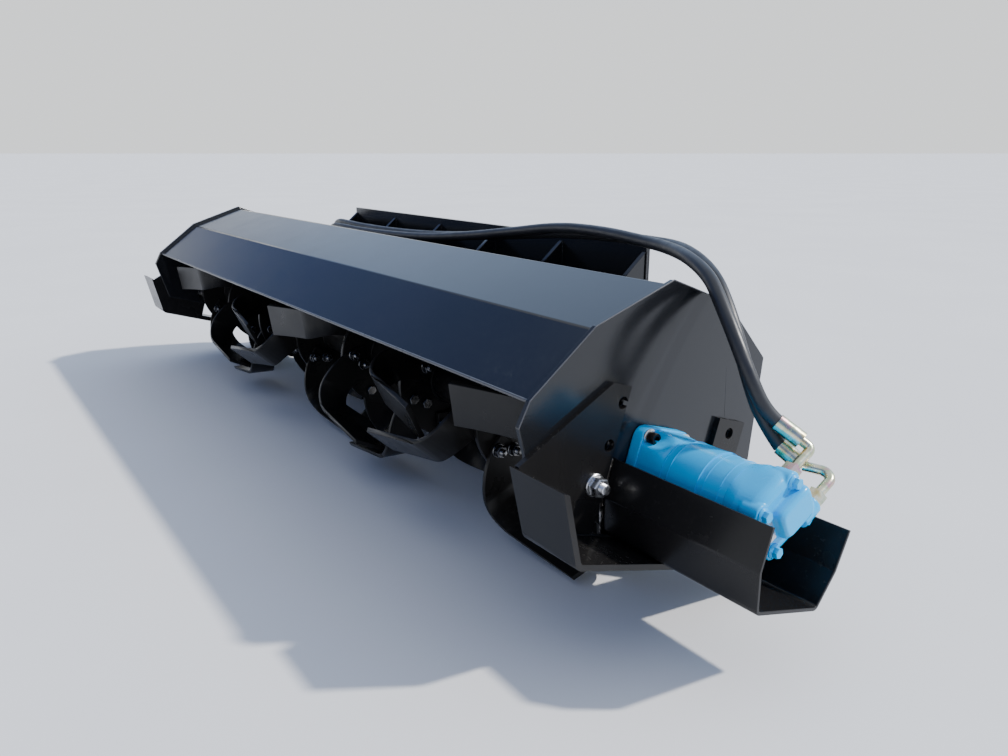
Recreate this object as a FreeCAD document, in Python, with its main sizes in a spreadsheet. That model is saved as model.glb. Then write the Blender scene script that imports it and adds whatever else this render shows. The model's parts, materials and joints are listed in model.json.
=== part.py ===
"""Rotary tiller for a compact loader: a faceted hood over a rotor of L-shaped blades,
a hydraulic motor in a bent guard, adjustable skid shoes and a quick-attach plate.

Millimetres. X runs along the rotor, towards the motor. Y runs towards the loader. Z is up,
and the tiller stands on Z = 0, on its blade tips and the lower lip of the loader plate.
"Tilted" pieces are drawn square to the hood, which leans back by the angle hood_tilt.
"""
import FreeCAD, Part
import math
import os
import re
import Sketcher

V = FreeCAD.Vector
doc = FreeCAD.newDocument("Tiller")

# Driving sizes
# name, value or formula, what it is
SIZES = [
    ("hood_tilt", "18", "degrees that the hood leans back"),
    ("hood_width", "1750", "over the outer faces of the end plates"),
    ("sheet", "5", "hood sheet"),
    ("end_plate", "8", "end plate thickness"),
    ("plate_stand", "6", "how far the end plates stand out past the hood sheet"),
    ("hood_fold", "14", "outer radius of the hood's folds"),
    ("lip_y", "-234", "front lower edge of the hood"),
    ("lip_z", "54", ""),
    ("cheek_y", "-162", "front fold"),
    ("cheek_z", "156", ""),
    ("brow_y", "-49", "top front fold"),
    ("brow_z", "239", ""),
    ("crown_y", "73", "top rear fold"),
    ("crown_z", "234", ""),
    ("nape_y", "187", "rear fold"),
    ("nape_z", "175", ""),
    ("tail_y", "229", "rear lower edge of the hood"),
    ("tail_z", "-20", ""),
    ("chin_y", "-246", "end plate, front corner"),
    ("chin_z", "20", ""),
    ("jaw_y", "-190", "end plate, front lower corner"),
    ("foot_z", "-65", "end plate, lower edge"),
    ("heel_y", "215", "end plate, rear lower corner"),
    ("shaft_hole", "33", "radius of the hole for the rotor shaft"),
    ("hitch_face", "279", "from the rotor axis to the loader plate"),
    ("hitch_width", "1166", "loader plate width"),
    ("hitch_top", "252", "loader plate top above the rotor axis"),
    ("hitch_plate", "10", "loader plate thickness"),
    ("hook_depth", "38", "rearward reach of the top lip"),
    ("hook_root", "4", "level part of the top lip's underside, beside the plate"),
    ("hook_set_in", "60", "from the plate's ends to the top lip"),
    ("wedge_rise", "46", "height of the lower lip"),
    ("wedge_depth", "42", "rearward reach of the lower lip"),
    ("slot_margin", "81.5", "from the middle of a lock pin slot to the end of the plate"),
    ("slot_spacing", "=hitch_width - 2 * slot_margin", "between the two lock pin slots"),
    ("slot_length", "62", "lock pin slot, along the plate"),
    ("slot_width", "25", "lock pin slot"),
    ("slot_set_in", "2", "from the plate's rear face to the slot"),
    ("rib_count", "6", "ribs between hood and loader plate"),
    ("rib_sheet", "10", "rib thickness"),
    ("rib_top", "238", "rib height at the loader plate"),
    ("rib_foot", "-104", "rib lower edge"),
    ("rib_reach", "0.45", "place of the rib's front corner on the rear slope"),
    ("swing", "208", "radius of the blade tips"),
    ("blades_per_flange", "6", "half point right, half point left"),
    ("first_blade", "73", "degrees from straight up to a tip of the motor side flange"),
    ("phase_step", "40", "degrees that each next flange is turned"),
    ("turned_back", "3", "degrees that the right blades are turned back, clear of the left ones"),
    ("tube_radius", "44.5", "rotor tube"),
    ("tube_end", "12", "gap from rotor tube to end plate"),
    ("flange_count", "8", "blade flanges along the rotor"),
    ("flange_inset", "26", "from end plate outer face to the middle of the end flange"),
    ("flange_radius", "110", "blade flange"),
    ("flange_plate", "10", "blade flange thickness"),
    ("blade_plate", "8", "blade thickness"),
    ("blade_root", "70", "radius at which a blade's shank starts"),
    ("blade_reach", "190", "sideways part of a blade, from the flange"),
    ("blade_bend", "60", "outer radius of the bend"),
    ("blade_turn", "82", "degrees that a blade is bent sideways"),
    ("tip_lead", "9", "degrees from the middle of a blade's tip to either corner"),
    ("tip_heel", "180", "radius of the tip's trailing corner"),
    ("shaft_radius", "25", "rotor stub shafts"),
    ("running_gap", "0.05", "radial clearance of a shaft in its seat"),
    ("shoe_plate", "8", "skid shoe plate"),
    ("shoe_fold", "14", "outer radius of its folds"),
    ("shoe_reach", "100", "sideways width of the skid shoe's runner"),
    ("toe_y", "-246", "skid shoe, top of the nose"),
    ("toe_z", "-25", ""),
    ("ball_y", "-194", "skid shoe, bottom of the nose"),
    ("sole_z", "-115", "skid shoe, underside of the runner"),
    ("heel_rise_y", "205", "skid shoe, start of the raised end"),
    ("heel_end_y", "240", "skid shoe, rear end"),
    ("heel_end_z", "-78", ""),
    ("arm_top", "97", "skid shoe, front arm top"),
    ("arm_back", "-84", "skid shoe, rear edge of the front arm"),
    ("arm_brow", "-118", "skid shoe, front arm, start of its slope"),
    ("rear_arm_front", "117", "skid shoe, rear arm"),
    ("rear_arm_back", "178", ""),
    ("rear_arm_top", "77", ""),
    ("shoe_hole", "8.5", "radius of the skid shoe's adjusting holes"),
    ("guard_length", "248", "motor guard, from the end plate"),
    ("guard_sheet", "5", "motor guard sheet"),
    ("guard_fold", "10", "outer radius of its folds"),
    ("guard_front", "-76", "motor guard, outline"),
    ("guard_rim", "-1", ""),
    ("guard_knee_z", "-54", ""),
    ("guard_floor_front", "-58", ""),
    ("guard_floor_z", "-104", ""),
    ("guard_floor_back", "69", ""),
    ("guard_back_knee", "89", ""),
    ("guard_back", "95", ""),
    ("motor_flange_half", "50", "half of the motor's square mounting flange"),
    ("motor_flange_plate", "18", "its thickness"),
    ("motor_flange_corner", "18", "its corner radius"),
    ("motor_radius", "48", "motor housing"),
    ("motor_ring_start", "72", "gear ring of the motor, from the end plate"),
    ("motor_ring_end", "118", ""),
    ("motor_ring_radius", "49.5", ""),
    ("motor_body_end", "162", "end of the housing, from the end plate"),
    ("cap_turn", "45", "degrees that the end cap is turned from the hood's directions"),
    ("cap_half", "44", "half of the square end cap"),
    ("cap_corner", "15", "its corner radius"),
    ("cap_ears", "212", "seats of its bolts, from the end plate"),
    ("cap_end", "234", "end of the raised middle"),
    ("cap_band", "20", "half width of the raised middle"),
    ("port_boss", "14", "radius of the bosses round the ports"),
    ("port_face", "50", "from the motor's middle to the face of a port"),
    ("port_nut", "15", "length of the hexagonal nut on a port"),
    ("nut_half", "11", "half its width across flats"),
    ("elbow_rise", "40", "from the nut to the corner of the bent pipe"),
    ("elbow_radius", "6.5", "bent pipe"),
    ("bearing_half", "56", "half of the far bearing's square foot"),
    ("bearing_foot", "14", "its thickness"),
    ("bearing_radius", "42", "bearing housing"),
    ("bearing_depth", "38", "its depth with the foot"),
    ("hose_radius", "10", "hydraulic hose"),
    ("ferrule_length", "36", "crimped sleeve on a hose end"),
    ("ferrule_radius", "11.5", ""),
    ("tip_step", "=phase_step / 2", "half of the turn between neighbouring tips of one hand"),
    ("low_left", "=mod(first_blade - tip_lead + 180 + tip_step; phase_step) - tip_step",
     "degrees from straight down to the lowest corner of a left blade"),
    ("low_right", "=mod(low_left - turned_back + 360 / blades_per_flange + tip_step; phase_step) - tip_step",
     "the same for the right blades"),
    ("low_tip", "=min(abs(low_left); abs(low_right))", "degrees from straight down to the lowest corner"),
    ("axis_height", "=swing * cos(low_tip * 1 deg)", "rotor axis above the floor"),
    ("shift_x", "=(shoe_reach - guard_length) / 2", "origin is the middle of the footprint"),
    ("shift_y", "=-(hitch_face + hitch_plate + wedge_depth + toe_y * cos(hood_tilt) + toe_z * sin(hood_tilt)) / 2",
     "from the rotor axis to the middle of the footprint"),
]

sheet = doc.addObject("Spreadsheet::Sheet", "Sizes")
for row, (name, content, note) in enumerate(SIZES, start=1):
    sheet.set("A%d" % row, note or name)
    sheet.set("B%d" % row, content)
    sheet.setAlias("B%d" % row, name)
doc.recompute()
NAMES = {name for name, content, note in SIZES}


def cells(formula):
    """The formula with each size's name pointing at its cell."""
    return re.sub(r"[a-z_]+\w*", lambda m: "Sizes." + m[0] if m[0] in NAMES else m[0], str(formula))


def value(formula):
    return float(sheet.evalExpression(str(formula)))


def bind(thing, prop, formula):
    thing.setExpression(prop, cells(formula))


# Turns about the rotor axis
LEVEL = "0"
WITH_HOOD = "-hood_tilt"
WITH_CAP = "-(hood_tilt + cap_turn)"


def place(thing, lean):
    """Stand a piece on the rotor axis, turned about it by the lean."""
    turn = FreeCAD.Rotation(V(1, 0, 0), value(lean))
    thing.Placement = FreeCAD.Placement(V(0, 0, 0), turn)
    bind(thing, "Placement.Base.x", "shift_x")
    bind(thing, "Placement.Base.y", "shift_y")
    bind(thing, "Placement.Base.z", "axis_height")
    if lean != LEVEL:
        bind(thing, "Placement.Rotation.Angle", lean)


pieces = []


def new_body(name, lean):
    body = doc.addObject("PartDesign::Body", name)
    body.Label = name
    place(body, lean)
    pieces.append(body)
    return body


def sketch_on(body, name, plane, offset):
    sketch = body.newObject("Sketcher::SketchObject", name)
    support = [item for item in body.Origin.OriginFeatures if item.Role == plane][0]
    sketch.AttachmentSupport = [(support, "")]
    sketch.MapMode = "FlatFace"
    bind(sketch, "AttachmentOffset.Base.z", offset)
    return sketch


def pin_point(sketch, line, end, across, up):
    """Tie one end of a line to its two sizes."""
    x, y = value(across), value(up)
    row = sketch.addConstraint(Sketcher.Constraint("DistanceX", -1, 1, line, end, x))
    bind(sketch, "Constraints[%d]" % row, across)
    row = sketch.addConstraint(Sketcher.Constraint("DistanceY", -1, 1, line, end, y))
    bind(sketch, "Constraints[%d]" % row, up)


def polygon(sketch, points):
    """A closed outline through points, each a pair of formulas."""
    flat = [V(value(across), value(up), 0) for across, up in points]
    first = sketch.GeometryCount
    for i, start in enumerate(flat):
        sketch.addGeometry(Part.LineSegment(start, flat[(i + 1) % len(flat)]))
    for i in range(len(flat)):
        after = first + (i + 1) % len(flat)
        sketch.addConstraint(Sketcher.Constraint("Coincident", first + i, 2, after, 1))
    for i, (across, up) in enumerate(points):
        pin_point(sketch, first + i, 1, across, up)


def circle(sketch, across, up, radius):
    centre = V(value(across), value(up), 0)
    ring = sketch.addGeometry(Part.Circle(centre, V(0, 0, 1), value(radius)))
    pin_point(sketch, ring, 3, across, up)
    row = sketch.addConstraint(Sketcher.Constraint("Radius", ring, value(radius)))
    bind(sketch, "Constraints[%d]" % row, radius)


def pad(body, sketch, length):
    feature = body.newObject("PartDesign::Pad", sketch.Name + "_pad")
    feature.Profile = sketch
    bind(feature, "Length", length)
    sketch.Visibility = False
    doc.recompute()
    return feature


def pocket(body, sketch, length, towards_plus=True):
    """Cut from the sketch's plane, along its normal or against it."""
    before = body.Shape.Volume
    feature = body.newObject("PartDesign::Pocket", sketch.Name + "_cut")
    feature.Profile = sketch
    feature.Reversed = towards_plus
    bind(feature, "Length", length)
    doc.recompute()
    if body.Shape.Volume >= before:
        raise ValueError(sketch.Name + " cuts nothing")
    return feature


def profile_pad(body, name, plane, points, offset, length):
    sketch = sketch_on(body, name, plane, offset)
    polygon(sketch, points)
    return pad(body, sketch, length)


def runs_along(edge):
    return abs(edge.tangentAt(edge.FirstParameter).x) > 0.999


def rounded(body, base, name, edges, radius):
    fillet = body.newObject("PartDesign::Fillet", name)
    fillet.Base = (base, ["Edge%d" % number for number in edges])
    bind(fillet, "Radius", radius)
    body.Tip = fillet
    doc.recompute()
    return fillet


def bent_sheet(body, name, points, offset, length, thickness, fold):
    """A folded sheet with the outline's sides as its outside, open along the outline's
    last side and at both ends."""
    block = profile_pad(body, name, "YZ_Plane", points, offset, length)
    middle_x = value(offset) + value(length) / 2
    rims = [V(middle_x, value(y), value(z)) for y, z in (points[-1], points[0])]
    folds = []
    for number, edge in enumerate(block.Shape.Edges, start=1):
        on_rim = [edge.distToShape(Part.Vertex(rim))[0] < 1e-6 for rim in rims]
        if runs_along(edge) and not any(on_rim):
            folds.append(number)
    block = rounded(body, block, name + "_folds", folds, fold)
    open_side = Part.Vertex((rims[0] + rims[1]) / 2)
    removed = []
    for number, face in enumerate(block.Shape.Faces, start=1):
        if abs(face.normalAt(0, 0).x) > 0.999 or face.distToShape(open_side)[0] < 1e-6:
            removed.append("Face%d" % number)
    shell = body.newObject("PartDesign::Thickness", name + "_sheet")
    shell.Base = (block, removed)
    shell.Reversed = True
    shell.Join = 1
    bind(shell, "Value", thickness)
    body.Tip = shell
    doc.recompute()
    return shell


# Where things are along the rotor
PLATE_OUTSIDE = "hood_width / 2"
PLATE_INSIDE = "hood_width / 2 - end_plate"


def corner(name):
    return (name + "_y", name + "_z")


def stood_out(name):
    """A corner of the hood's section, moved out to the edge of the end plate."""
    grow = "(1 + plate_stand / hypot(%s_y; %s_z))" % (name, name)
    return ("%s_y * %s" % (name, grow), "%s_z * %s" % (name, grow))


def levelled(across, up):
    """A point of the tilted section, in level directions."""
    return ("(%s) * cos(hood_tilt) + (%s) * sin(hood_tilt)" % (across, up),
            "(%s) * cos(hood_tilt) - (%s) * sin(hood_tilt)" % (up, across))


# Hood
HOOD_CORNERS = ["lip", "cheek", "brow", "crown", "nape", "tail"]
hood = new_body("hood_shell", WITH_HOOD)
bent_sheet(hood, "hood_section", [corner(c) for c in HOOD_CORNERS],
           "-(%s)" % PLATE_INSIDE, "hood_width - 2 * end_plate", "sheet", "hood_fold")

# End plates
END_OUTLINE = [stood_out(c) for c in HOOD_CORNERS] + [
    ("heel_y", "foot_z"), ("jaw_y", "foot_z"), corner("chin")]
# Holes for the skid shoes: towards the loader, up
SHOE_HOLES = [("-92", "74"), ("-96", "16"), ("-104", "-38"), ("148", "57")]
for side, inner_face in (("motor", PLATE_INSIDE), ("far", "-hood_width / 2")):
    plate = new_body("end_plate_" + side, WITH_HOOD)
    profile_pad(plate, "end_outline_" + side, "YZ_Plane", END_OUTLINE, inner_face, "end_plate")
    holes = sketch_on(plate, "end_holes_" + side, "YZ_Plane", inner_face)
    circle(holes, "0", "0", "shaft_hole")
    for across, up in SHOE_HOLES:
        circle(holes, across, up, "shoe_hole")
    pocket(plate, holes, "end_plate")

# Skid shoes
RUNNER = [("toe_y", "toe_z"), ("ball_y", "sole_z"), ("heel_rise_y", "sole_z"),
          ("heel_end_y", "heel_end_z")]
FRONT_ARM = [("toe_y + shoe_plate", "toe_z + 1"), ("arm_brow", "arm_top"), ("arm_back", "arm_top"),
             ("arm_back", "sole_z + shoe_plate / 2"), ("ball_y + shoe_plate / 2", "sole_z + shoe_plate / 2")]
REAR_ARM = [("rear_arm_front", "rear_arm_top"), ("rear_arm_back", "rear_arm_top"),
            ("rear_arm_back", "sole_z + shoe_plate / 2"), ("rear_arm_front", "sole_z + shoe_plate / 2")]
for side, runner_start, arm_start in (("motor", PLATE_OUTSIDE, PLATE_OUTSIDE),
                                      ("far", "-hood_width / 2 - shoe_reach",
                                       "-hood_width / 2 - shoe_plate")):
    shoe = new_body("skid_shoe_" + side, WITH_HOOD)
    bent_sheet(shoe, "runner_" + side, RUNNER, runner_start, "shoe_reach", "shoe_plate", "shoe_fold")
    profile_pad(shoe, "front_arm_" + side, "YZ_Plane", FRONT_ARM, arm_start, "shoe_plate")
    profile_pad(shoe, "rear_arm_" + side, "YZ_Plane", REAR_ARM, arm_start, "shoe_plate")
    holes = sketch_on(shoe, "shoe_holes_" + side, "YZ_Plane", arm_start)
    for across, up in SHOE_HOLES:
        circle(holes, across, up, "shoe_hole")
    pocket(shoe, holes, "shoe_plate")

# Motor guard
GUARD = [("guard_front", "guard_rim"), ("guard_front", "guard_knee_z"),
         ("guard_floor_front", "guard_floor_z"), ("guard_floor_back", "guard_floor_z"),
         ("guard_back_knee", "guard_knee_z"), ("guard_back", "guard_rim")]
guard = new_body("motor_guard", WITH_HOOD)
bent_sheet(guard, "guard_section", GUARD, PLATE_OUTSIDE, "guard_length", "guard_sheet", "guard_fold")

# Loader plate: flat plate, hooked top lip and slotted lower lip
hitch = new_body("loader_plate", LEVEL)
HITCH_BACK = "hitch_face + hitch_plate"
FLOOR = "-axis_height"
HITCH_PLATE = [
    ("hitch_face", "hitch_top"),
    ("hitch_face", FLOOR + " + wedge_rise"),
    (HITCH_BACK + " + wedge_depth - hitch_plate", FLOOR),
    (HITCH_BACK + " + wedge_depth", FLOOR),
    (HITCH_BACK + " + wedge_depth", FLOOR + " + hitch_plate"),
    (HITCH_BACK, FLOOR + " + wedge_rise + hitch_plate"),
    (HITCH_BACK, "hitch_top"),
]
TOP_HOOK = [
    (HITCH_BACK, "hitch_top"),
    (HITCH_BACK, "hitch_top - hitch_plate * 1.5"),
    (HITCH_BACK + " + hook_root", "hitch_top - hitch_plate * 1.5"),
    (HITCH_BACK + " + hook_depth - hitch_plate / 2", "hitch_top - hook_depth"),
    (HITCH_BACK + " + hook_depth", "hitch_top - hook_depth + hitch_plate"),
]
profile_pad(hitch, "hitch_section", "YZ_Plane", HITCH_PLATE, "-hitch_width / 2", "hitch_width")
profile_pad(hitch, "hook_section", "YZ_Plane", TOP_HOOK, "-hitch_width / 2 + hook_set_in",
            "hitch_width - 2 * hook_set_in")
for side, middle in (("motor", "slot_spacing / 2"), ("far", "-slot_spacing / 2")):
    slot = sketch_on(hitch, "lock_slot_" + side, "XY_Plane", FLOOR)
    left, right = middle + " - slot_length / 2", middle + " + slot_length / 2"
    near = HITCH_BACK + " + slot_set_in"
    polygon(slot, [(left, near), (right, near), (right, near + " + slot_width"),
                   (left, near + " + slot_width")])
    pocket(hitch, slot, "wedge_rise + hitch_plate")

# Ribs between hood and loader plate
nape_corner = levelled("nape_y", "nape_z")
tail_corner = levelled("tail_y", "tail_z")
front_corner = levelled("crown_y + (nape_y - crown_y) * rib_reach",
                        "crown_z + (nape_z - crown_z) * rib_reach")
RIB = [("hitch_face", "rib_top"), front_corner, nape_corner, tail_corner,
       ("hitch_face", "rib_foot")]
rib_count = int(value("rib_count"))
for number in range(rib_count):
    rib = new_body("hitch_rib_%d" % (number + 1), LEVEL)
    start = "-hitch_width / 2 + (hitch_width - rib_sheet) * %d / (rib_count - 1)" % number
    profile_pad(rib, "rib_outline_%d" % (number + 1), "YZ_Plane", RIB, start, "rib_sheet")

# Rotor tube, shafts and flanges
HALF_TUBE = "hood_width / 2 - end_plate - tube_end"
tube = new_body("rotor_tube", LEVEL)
tube_circle = sketch_on(tube, "tube_circle", "YZ_Plane", "-(%s)" % HALF_TUBE)
circle(tube_circle, "0", "0", "tube_radius")
pad(tube, tube_circle, "2 * (%s)" % HALF_TUBE)

SHAFTS = [
    # side, start along the rotor, length
    ("motor", HALF_TUBE, "end_plate + tube_end + motor_flange_plate / 2"),
    ("far", "-hood_width / 2 - bearing_depth / 2", "bearing_depth / 2 + end_plate + tube_end"),
]
for side, start, length in SHAFTS:
    shaft = new_body("rotor_shaft_" + side, LEVEL)
    outline = sketch_on(shaft, "shaft_circle_" + side, "YZ_Plane", start)
    circle(outline, "0", "0", "shaft_radius")
    pad(shaft, outline, length)

flange_count = int(value("flange_count"))
END_FLANGE = "(hood_width / 2 - flange_inset)"
for number in range(flange_count):
    flange = new_body("blade_flange_%d" % (number + 1), LEVEL)
    start = "-%s + 2 * %s * %d / (flange_count - 1) - flange_plate / 2" % (END_FLANGE, END_FLANGE, number)
    ring = sketch_on(flange, "flange_ring_%d" % (number + 1), "YZ_Plane", start)
    circle(ring, "0", "0", "flange_radius")
    circle(ring, "0", "0", "tube_radius")
    pad(flange, ring, "flange_plate")

# Blades
# The start, middle and end of a blade's curved edges: radius, degrees ahead of the tip's middle
LEADING_EDGE = [("blade_root", "-62"), ("0.68 * swing", "-35"), ("swing", "-tip_lead")]
TRAILING_EDGE = [("blade_root", "-4"), ("0.58 * swing", "-8"), ("tip_heel", "tip_lead")]


def blade_shape():
    """One blade whose tip points up, its flange side at X = 0 and its sideways part
    towards +X. A curved outline and a bent strip, cut to what they share."""

    def polar(radius, degrees):
        angle = math.radians(value(degrees))
        return V(0, -value(radius) * math.sin(angle), value(radius) * math.cos(angle))

    reach = value("blade_reach")
    leading = [polar(*point) for point in LEADING_EDGE]
    trailing = [polar(*point) for point in TRAILING_EDGE]
    edges = [
        Part.Arc(*leading).toShape(),
        Part.LineSegment(leading[2], trailing[2]).toShape(),
        Part.Arc(*reversed(trailing)).toShape(),
        Part.LineSegment(trailing[0], leading[0]).toShape(),
    ]
    outline = Part.Face(Part.Wire(edges)).extrude(V(reach, 0, 0))

    # The strip's section: up the flange, round the bend, then out to the tip's chord
    along = (trailing[2] - leading[2]).normalize()
    out = along.cross(V(1, 0, 0))
    if out.dot(leading[2]) < 0:
        out = -out
    turn = math.radians(value("blade_turn"))
    slant = V(math.sin(turn), math.cos(turn), 0)
    inward = V(math.cos(turn), -math.sin(turn), 0)
    thick = value("blade_plate")
    bend = value("blade_bend")
    bend_reach = bend * (1 - math.cos(turn))
    straight = (reach - bend_reach) / math.sin(turn)
    bend_start = out.dot(leading[2]) - straight * math.cos(turn) - bend * math.sin(turn)
    centre = V(bend, bend_start, 0)

    def on_bend(radius, angle):
        return centre + V(-math.cos(angle), math.sin(angle), 0) * radius

    outer = [V(0, 0, 0), V(0, bend_start, 0), on_bend(bend, turn / 2), on_bend(bend, turn),
             on_bend(bend, turn) + slant * straight]
    inner_bend = bend - thick
    inner = [V(thick, 0, 0), V(thick, bend_start, 0), on_bend(inner_bend, turn / 2),
             on_bend(inner_bend, turn), on_bend(inner_bend, turn) + slant * straight]

    def stood(point):
        return V(point.x, 0, 0) + out * point.y - along * value("swing")

    outer = [stood(point) for point in outer]
    inner = [stood(point) for point in inner]
    strip = []
    for side in (outer, inner):
        strip.append(Part.LineSegment(side[0], side[1]).toShape())
        strip.append(Part.Arc(side[1], side[2], side[3]).toShape())
        strip.append(Part.LineSegment(side[3], side[4]).toShape())
    strip.append(Part.LineSegment(outer[0], inner[0]).toShape())
    strip.append(Part.LineSegment(outer[4], inner[4]).toShape())
    band = Part.Face(Part.Wire(Part.__sortEdges__(strip))).extrude(along * value("swing") * 2)
    return outline.common(band).Solids[0]


right_blade = blade_shape()
left_blade = right_blade.mirror(V(0, 0, 0), V(1, 0, 0))


def blade_set(number):
    """The blades of one flange. They point right and left in turn, and a flange at the
    end of the rotor has only those that point inwards."""
    last = value(END_FLANGE)
    middle = -last + 2 * last * number / (flange_count - 1)
    half_flange = value("flange_plate") / 2
    per_flange = int(value("blades_per_flange"))
    from_motor = flange_count - 1 - number
    copies = []
    for turn in range(per_flange):
        rightward = turn % 2 == 1
        outward = number == (flange_count - 1 if rightward else 0)
        if outward:
            continue
        blade = (right_blade if rightward else left_blade).copy()
        blade.translate(V(middle + (half_flange if rightward else -half_flange), 0, 0))
        tip_angle = (value("first_blade") + value("phase_step") * from_motor
                     + turn * 360 / per_flange - (value("turned_back") if rightward else 0))
        blade.rotate(V(0, 0, 0), V(1, 0, 0), tip_angle)
        copies.append(blade)
    return Part.makeCompound(copies)


def shape_piece(name, shape):
    piece = doc.addObject("Part::Feature", name)
    piece.Label = name
    piece.Shape = shape
    place(piece, LEVEL)
    pieces.append(piece)
    return piece


for number in range(flange_count):
    shape_piece("blades_%d" % (number + 1), blade_set(number))

# Motor
def squared(half):
    return [("-" + half, "-" + half), (half, "-" + half), (half, half), ("-" + half, half)]


def square_block(body, name, half, start, length, radius):
    """A square block along the rotor with rounded corners."""
    base = profile_pad(body, name, "YZ_Plane", squared(half), start, length)
    upright = [i for i, edge in enumerate(base.Shape.Edges, start=1) if runs_along(edge)]
    return rounded(body, base, name + "_corners", upright, radius)


def round_block(body, name, radius, start, length):
    outline = sketch_on(body, name, "YZ_Plane", start)
    circle(outline, "0", "0", radius)
    return pad(body, outline, length)


def shaft_seat(body, name, start, length):
    seat = sketch_on(body, name, "YZ_Plane", start)
    circle(seat, "0", "0", "shaft_radius + running_gap")
    pocket(body, seat, length)


motor_flange = new_body("motor_flange", WITH_HOOD)
square_block(motor_flange, "flange_square", "motor_flange_half", PLATE_OUTSIDE, "motor_flange_plate",
             "motor_flange_corner")
shaft_seat(motor_flange, "motor_seat", PLATE_OUTSIDE, "motor_flange_plate / 2 + 1")

MOTOR_RINGS = [
    # name, start from the end plate, end, radius
    ("front_housing", "motor_flange_plate", "motor_ring_start", "motor_radius"),
    ("gear_ring", "motor_ring_start", "motor_ring_end", "motor_ring_radius"),
    ("rear_housing", "motor_ring_end", "motor_body_end", "motor_radius"),
]
motor_body = new_body("motor_body", WITH_HOOD)
for name, start, end, radius in MOTOR_RINGS:
    round_block(motor_body, name, radius, PLATE_OUTSIDE + " + " + start, "%s - %s" % (end, start))

# End cap: turned square, with a raised middle and two port bosses on its upper rear side.
# In its own directions Z points out of the ports.
PORTS = [
    # name, from the end plate, across the side
    ("front", "184", "-9"),
    ("rear", "212", "22"),
]
cap = new_body("motor_cap", WITH_CAP)
square_block(cap, "cap_square", "cap_half", PLATE_OUTSIDE + " + motor_body_end",
             "cap_ears - motor_body_end", "cap_corner")
BAND = [("-cap_band", "-cap_half"), ("cap_band", "-cap_half"), ("cap_band", "cap_half"),
        ("-cap_band", "cap_half")]
profile_pad(cap, "cap_middle", "YZ_Plane", BAND, PLATE_OUTSIDE + " + cap_ears", "cap_end - cap_ears")
for name, along, across in PORTS:
    boss = sketch_on(cap, "port_boss_" + name, "XY_Plane", "cap_half - port_boss / 2")
    circle(boss, PLATE_OUTSIDE + " + " + along, across, "port_boss")
    pad(cap, boss, "port_face - cap_half + port_boss / 2")

# Bearing on the far end plate
bearing = new_body("rotor_bearing", WITH_HOOD)
square_block(bearing, "bearing_foot_square", "bearing_half", "-hood_width / 2 - bearing_foot",
             "bearing_foot", "motor_flange_corner")
round_block(bearing, "bearing_housing", "bearing_radius", "-hood_width / 2 - bearing_depth",
            "bearing_depth - bearing_foot")
shaft_seat(bearing, "bearing_seat", "-hood_width / 2 - bearing_depth / 2 - 1", "bearing_depth / 2 + 1")

# Hydraulic hoses
# Route points from the rotor axis in level directions: along the rotor, towards the loader, up
FRONT_HOSE = [
    (1020, 70, 84), (974, 47, 117), (942, 38, 168), (921, 53, 229), (888, 85, 270), (835, 111, 293),
    (752, 134, 296), (660, 160, 297), (545, 180, 290), (410, 193, 272), (255, 198, 251),
    (85, 199, 234), (-90, 198, 226), (-260, 197, 223), (-410, 198, 223), (-520, 201, 223),
    (-602, 212, 215), (-660, 233, 181), (-696, 259, 129), (-710, 270, 62), (-709, 272, -12),
    (-692, 268, -83), (-659, 258, -140), (-612, 242, -177), (-555, 232, -192), (-499, 228, -193),
    (-445, 227, -192.5),
]
REAR_HOSE = [
    (1021, 81, 49), (973, 71, 78), (938, 70, 123), (921, 80, 178), (909, 110, 224), (883, 135, 257),
    (845, 154, 280), (770, 173, 297), (668, 196, 301), (555, 217, 297), (420, 230, 284),
    (265, 236, 268), (95, 237, 256), (-80, 236, 251), (-250, 235, 251), (-405, 235, 252),
    (-520, 237, 252), (-608, 245, 242), (-678, 259, 209), (-725, 275, 155), (-747, 286, 89),
    (-751, 291, 17), (-745, 291, -52), (-724, 287, -112), (-685, 283, -158), (-633, 278, -185),
    (-573, 271, -193), (-516, 268, -193), (-461, 267, -192.5),
]

ROUTE_EDGE = 875  # the end plate's outer face where the routes were chosen


def routed(points):
    """A route's points, those beyond the end plate moved with it."""
    moved = value(PLATE_OUTSIDE) - ROUTE_EDGE
    return [V(x + moved if x > ROUTE_EDGE else x, y, z) for x, y, z in points]


def tangent_path(points):
    """Straight runs joined by tangent arcs, each as large as its runs allow."""
    edges = []
    radii = []
    start = points[0]
    for before, here, after in zip(points, points[1:], points[2:]):
        inward = (before - here).normalize()
        onward = (after - here).normalize()
        turn = math.pi - inward.getAngle(onward)
        cut = 0.45 * min((before - here).Length, (after - here).Length)
        bend = cut / math.tan(turn / 2)
        centre_way = (inward + onward).normalize()
        middle = here + centre_way * (bend / math.cos(turn / 2) - bend)
        enter = here + inward * cut
        leave = here + onward * cut
        edges.append(Part.LineSegment(start, enter).toShape())
        edges.append(Part.Arc(enter, middle, leave).toShape())
        radii.append(bend)
        start = leave
    edges.append(Part.LineSegment(start, points[-1]).toShape())
    return Part.Wire(edges), radii


def swept(points, radius):
    path, radii = tangent_path(points)
    section = Part.Wire(Part.Circle(points[0], points[1] - points[0], radius).toShape())
    return path.makePipeShell([section], True, True)


def hose(points):
    path, radii = tangent_path(points)
    tube = swept(points, value("hose_radius"))
    expected = math.pi * value("hose_radius") ** 2 * path.Length
    print("hose length %.0f, volume ratio %.4f" % (path.Length, tube.Volume / expected))
    print("radii", [round(r) for r in radii])
    return tube


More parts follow.
